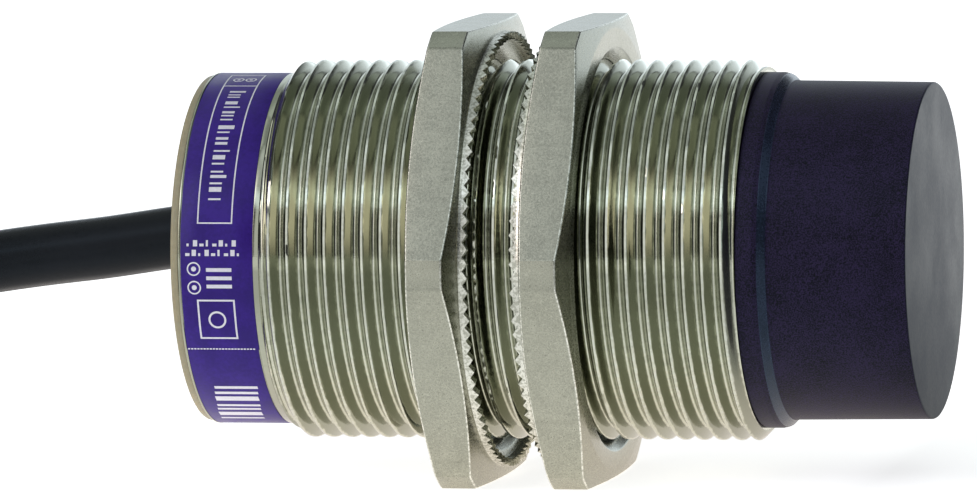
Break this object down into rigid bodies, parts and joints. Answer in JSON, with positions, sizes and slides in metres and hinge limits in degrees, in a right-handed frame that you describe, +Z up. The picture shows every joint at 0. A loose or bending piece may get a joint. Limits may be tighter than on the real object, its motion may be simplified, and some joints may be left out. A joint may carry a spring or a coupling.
{
  "type": "inductive proximity sensor",
  "caption": "Threaded cylindrical inductive proximity sensor with a projecting sensing cap, toothed hexagon nuts and a fixed cable wound in a tied hank.",
  "frame": {"origin": "under the middle of the sensor's overall length, on the surface that the nuts' bottom flats rest on", "axes": "+X along the sensor and out of the sensing face; +Z up from the nuts' bottom flats; +Y completes a right-handed frame, and the cable leaves towards -X"},
  "size_m": [0.189, 0.0472, 0.036],
  "materials": {
    "nickel": "nickel-plated, satin",
    "nut_nickel": "nickel-plated, satin",
    "cap_plastic": "smooth black",
    "ferrite": "fired ferrite, matt",
    "bobbin_plastic": "matt",
    "copper": "enamelled copper",
    "pad_foam": "soft foam",
    "carrier_plastic": "matt",
    "board_laminate": "satin solder resist",
    "chip_black": "matt moulding",
    "capacitor_ochre": "matt moulding",
    "ceramic_tan": "fired ceramic",
    "trimmer_blue": "gloss",
    "lamp_amber": "clear amber",
    "resin": "cast resin",
    "plug_translucent": "milky, slightly translucent",
    "seal_rubber": "matt",
    "clamp_metal": "tinned",
    "cable_jacket": "satin black",
    "wire_brown": "satin",
    "wire_blue": "satin",
    "wire_black": "satin",
    "label_blue": "satin print",
    "tie_grey": "woven band"
  },
  "bodies": {
    "sensor": {"barrel": "nickel", "sensing_cap": "cap_plastic", "ferrite_core": "ferrite", "coil_bobbin": "bobbin_plastic", "coil_winding": "copper", "coil_leads": "copper", "core_pad": "pad_foam", "board_carrier": "carrier_plastic", "circuit_board": "board_laminate", "control_ic": "chip_black", "output_transistor": "chip_black", "tantalum_capacitors": "capacitor_ochre", "ceramic_capacitors": "ceramic_tan", "chip_resistors": "chip_black", "protection_diodes": "chip_black", "sensitivity_trimmer": "trimmer_blue", "status_leds": "lamp_amber", "potting_compound": "resin", "rear_plug": "plug_translucent", "plug_seal": "seal_rubber", "cable_clamp": "clamp_metal", "cable_stub": "cable_jacket", "brown_wire": "wire_brown", "blue_wire": "wire_blue", "black_wire": "wire_black", "marking_label": "label_blue", "cable": "cable_jacket", "cable_hank": "cable_jacket", "hank_tie": "tie_grey", "cable_tail": "cable_jacket", "brown_core_end": "wire_brown", "blue_core_end": "wire_blue", "black_core_end": "wire_black"},
    "rear_nut": {"rear_nut": "nut_nickel"},
    "front_nut": {"front_nut": "nut_nickel"}
  },
  "joints": [
    {"name": "rear_nut_travel", "type": "slide", "parent": "sensor", "child": "rear_nut", "axis": [1, 0, 0], "range_m": [-0.012, 0.0013]},
    {"name": "front_nut_travel", "type": "slide", "parent": "sensor", "child": "front_nut", "axis": [1, 0, 0], "range_m": [-0.0013, 0.0115]}
  ]
}
